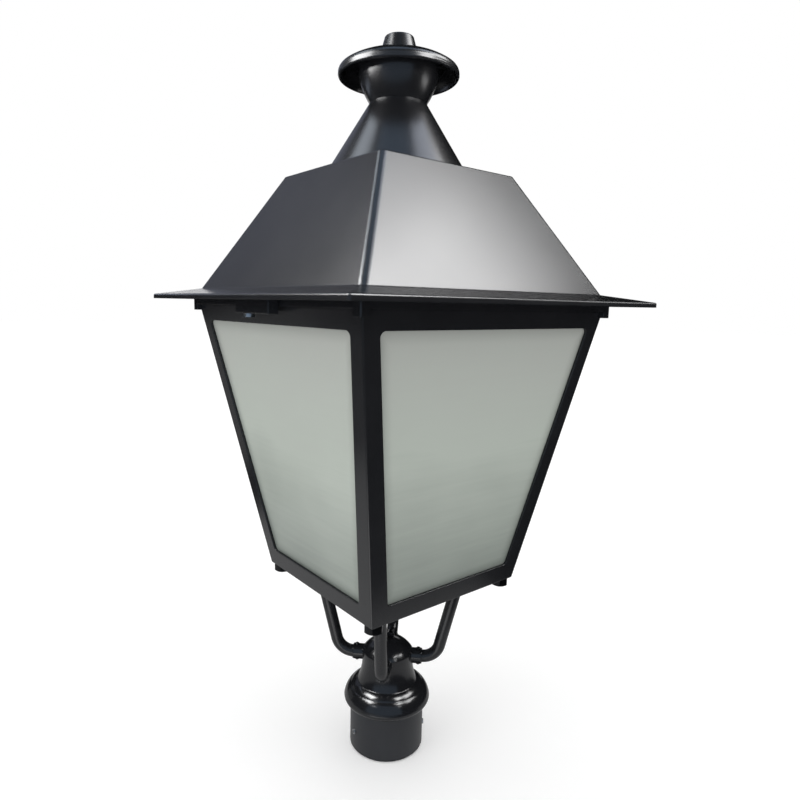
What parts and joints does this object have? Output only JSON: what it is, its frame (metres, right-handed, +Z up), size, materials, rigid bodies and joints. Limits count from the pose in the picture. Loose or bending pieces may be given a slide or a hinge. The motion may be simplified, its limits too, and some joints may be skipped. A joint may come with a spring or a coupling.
{
  "type": "led garden light head",
  "caption": "Square tapered post-top lantern head with hinged hip roof, vent chimney, opal panes, curved arms and a pole socket.",
  "frame": {"origin": "centre of the pole socket's mouth, the lowest face", "axes": "+Z up along the pole, -X the face with the latch, +X the face with the roof hinge"},
  "size_m": [0.392, 0.392, 0.7953],
  "materials": {
    "black_gloss_paint": "semi-gloss",
    "black_satin_paint": "satin",
    "opal_pane": "satin opal",
    "zinc_steel": "satin",
    "black_steel": "black oxide",
    "seal_rubber": "matte",
    "white_tray": "matte white",
    "sink_aluminium": "extruded",
    "white_board": "solder mask",
    "led_phosphor": "satin",
    "driver_shell": "matte",
    "terminal_plastic": "matte"
  },
  "bodies": {
    "lantern": {"arm_bolts": "zinc_steel", "arm_front": "black_gloss_paint", "arm_left": "black_gloss_paint", "arm_rear": "black_gloss_paint", "arm_right": "black_gloss_paint", "arm_set_screws": "zinc_steel", "base_plate": "black_satin_paint", "body_frame": "black_gloss_paint", "cable_grommet": "seal_rubber", "corner_bolts": "black_steel", "corner_nuts": "zinc_steel", "hinge_leaf_ring": "black_satin_paint", "hinge_pin": "zinc_steel", "hub_casting": "black_gloss_paint", "pane_clips": "zinc_steel", "pane_front": "opal_pane", "pane_left": "opal_pane", "pane_rear": "opal_pane", "pane_right": "opal_pane", "pole_screws": "zinc_steel", "post_socket": "black_satin_paint", "roof_gasket": "seal_rubber", "top_ring": "black_gloss_paint"},
    "roof": {"roof_shell": "black_gloss_paint", "chimney_cone": "black_gloss_paint", "chimney_bell": "black_gloss_paint", "cap_disc": "black_gloss_paint", "finial_knob": "black_gloss_paint", "tie_bolt": "zinc_steel", "gear_tray": "white_tray", "tray_screws": "zinc_steel", "heat_sink": "sink_aluminium", "led_board": "white_board", "led_chips": "led_phosphor", "board_screws": "zinc_steel", "driver_case": "driver_shell", "driver_screws": "zinc_steel", "terminal_block": "terminal_plastic", "hinge_leaf_roof": "black_satin_paint", "latch_block": "black_satin_paint"},
    "latch": {"latch_cam": "zinc_steel"}
  },
  "joints": [
    {"name": "roof_hinge", "type": "hinge", "parent": "lantern", "child": "roof", "pos_m": [0.171, 0, 0.519], "axis": [0, 1, 0], "range_deg": [0, 100]},
    {"name": "latch_turn", "type": "hinge", "parent": "roof", "child": "latch", "pos_m": [-0.1678, 0.01, 0.517], "axis": [0, 0, -1], "range_deg": [0, 90]}
  ]
}
